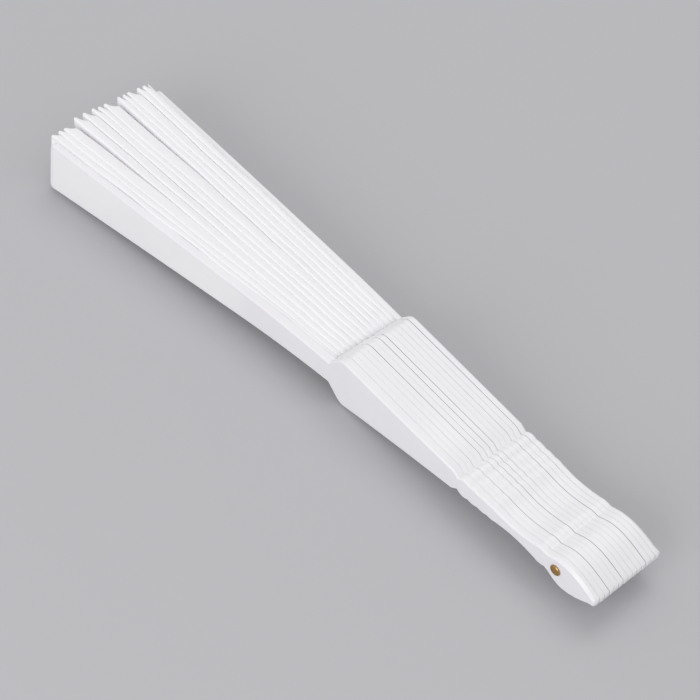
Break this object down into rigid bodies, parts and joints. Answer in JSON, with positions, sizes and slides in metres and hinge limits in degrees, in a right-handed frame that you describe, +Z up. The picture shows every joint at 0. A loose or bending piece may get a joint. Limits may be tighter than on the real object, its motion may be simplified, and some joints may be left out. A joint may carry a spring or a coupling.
{
  "type": "folding hand fan",
  "caption": "Closed folding hand fan with scalloped moulded sticks stacked on a rivet at a rounded head and a pleated cloth leaf.",
  "frame": {"origin": "under the middle of the closed fan, on the surface that its edges lie on", "axes": "+X along the sticks from the rivet to their ends, +Y along the rivet towards the near guard, +Z up"},
  "size_m": [0.2348, 0.0448, 0.0197],
  "materials": {
    "sticks": "satin",
    "leaf": "matte",
    "rivet": "satin"
  },
  "bodies": {
    "guard_near": {"guard_near": "sticks", "leaf_panel_01": "leaf", "rivet_pin": "rivet", "rivet_cap": "rivet"},
    "rib_01": {"rib_01": "sticks", "leaf_panel_02": "leaf", "leaf_fold_01": "leaf"},
    "rib_02": {"rib_02": "sticks", "leaf_panel_03": "leaf", "leaf_fold_02": "leaf"},
    "rib_03": {"rib_03": "sticks", "leaf_panel_04": "leaf", "leaf_fold_03": "leaf"},
    "rib_04": {"rib_04": "sticks", "leaf_panel_05": "leaf", "leaf_fold_04": "leaf"},
    "rib_05": {"rib_05": "sticks", "leaf_panel_06": "leaf", "leaf_fold_05": "leaf"},
    "rib_06": {"rib_06": "sticks", "leaf_panel_07": "leaf", "leaf_fold_06": "leaf"},
    "rib_07": {"rib_07": "sticks", "leaf_panel_08": "leaf", "leaf_fold_07": "leaf"},
    "rib_08": {"rib_08": "sticks", "leaf_panel_09": "leaf", "leaf_fold_08": "leaf"},
    "rib_09": {"rib_09": "sticks", "leaf_panel_10": "leaf", "leaf_fold_09": "leaf"},
    "rib_10": {"rib_10": "sticks", "leaf_panel_11": "leaf", "leaf_fold_10": "leaf"},
    "rib_11": {"rib_11": "sticks", "leaf_panel_12": "leaf", "leaf_fold_11": "leaf"},
    "rib_12": {"rib_12": "sticks", "leaf_panel_13": "leaf", "leaf_fold_12": "leaf"},
    "guard_far": {"guard_far": "sticks", "leaf_panel_14": "leaf", "leaf_fold_13": "leaf"}
  },
  "joints": [
    {"name": "open_01", "type": "hinge", "parent": "guard_near", "child": "rib_01", "pos_m": [-0.10292, 0, 0.00985], "axis": [0, -1, 0], "range_deg": [0, 10], "deforming": ["leaf_fold_01"]},
    {"name": "open_02", "type": "hinge", "parent": "rib_01", "child": "rib_02", "pos_m": [-0.10292, 0, 0.00985], "axis": [0, -1, 0], "range_deg": [0, 10], "deforming": ["leaf_fold_02"]},
    {"name": "open_03", "type": "hinge", "parent": "rib_02", "child": "rib_03", "pos_m": [-0.10292, 0, 0.00985], "axis": [0, -1, 0], "range_deg": [0, 10], "deforming": ["leaf_fold_03"]},
    {"name": "open_04", "type": "hinge", "parent": "rib_03", "child": "rib_04", "pos_m": [-0.10292, 0, 0.00985], "axis": [0, -1, 0], "range_deg": [0, 10], "deforming": ["leaf_fold_04"]},
    {"name": "open_05", "type": "hinge", "parent": "rib_04", "child": "rib_05", "pos_m": [-0.10292, 0, 0.00985], "axis": [0, -1, 0], "range_deg": [0, 10], "deforming": ["leaf_fold_05"]},
    {"name": "open_06", "type": "hinge", "parent": "rib_05", "child": "rib_06", "pos_m": [-0.10292, 0, 0.00985], "axis": [0, -1, 0], "range_deg": [0, 10], "deforming": ["leaf_fold_06"]},
    {"name": "open_07", "type": "hinge", "parent": "rib_06", "child": "rib_07", "pos_m": [-0.10292, 0, 0.00985], "axis": [0, -1, 0], "range_deg": [0, 10], "deforming": ["leaf_fold_07"]},
    {"name": "open_08", "type": "hinge", "parent": "rib_07", "child": "rib_08", "pos_m": [-0.10292, 0, 0.00985], "axis": [0, -1, 0], "range_deg": [0, 10], "deforming": ["leaf_fold_08"]},
    {"name": "open_09", "type": "hinge", "parent": "rib_08", "child": "rib_09", "pos_m": [-0.10292, 0, 0.00985], "axis": [0, -1, 0], "range_deg": [0, 10], "deforming": ["leaf_fold_09"]},
    {"name": "open_10", "type": "hinge", "parent": "rib_09", "child": "rib_10", "pos_m": [-0.10292, 0, 0.00985], "axis": [0, -1, 0], "range_deg": [0, 10], "deforming": ["leaf_fold_10"]},
    {"name": "open_11", "type": "hinge", "parent": "rib_10", "child": "rib_11", "pos_m": [-0.10292, 0, 0.00985], "axis": [0, -1, 0], "range_deg": [0, 10], "deforming": ["leaf_fold_11"]},
    {"name": "open_12", "type": "hinge", "parent": "rib_11", "child": "rib_12", "pos_m": [-0.10292, 0, 0.00985], "axis": [0, -1, 0], "range_deg": [0, 10], "deforming": ["leaf_fold_12"]},
    {"name": "open_13", "type": "hinge", "parent": "rib_12", "child": "guard_far", "pos_m": [-0.10292, 0, 0.00985], "axis": [0, -1, 0], "range_deg": [0, 10], "deforming": ["leaf_fold_13"]}
  ],
  "couplings": [
    {"joint": "open_02", "follows": "open_01", "ratio": 1},
    {"joint": "open_03", "follows": "open_01", "ratio": 1},
    {"joint": "open_04", "follows": "open_01", "ratio": 1},
    {"joint": "open_05", "follows": "open_01", "ratio": 1},
    {"joint": "open_06", "follows": "open_01", "ratio": 1},
    {"joint": "open_07", "follows": "open_01", "ratio": 1},
    {"joint": "open_08", "follows": "open_01", "ratio": 1},
    {"joint": "open_09", "follows": "open_01", "ratio": 1},
    {"joint": "open_10", "follows": "open_01", "ratio": 1},
    {"joint": "open_11", "follows": "open_01", "ratio": 1},
    {"joint": "open_12", "follows": "open_01", "ratio": 1},
    {"joint": "open_13", "follows": "open_01", "ratio": 1}
  ]
}
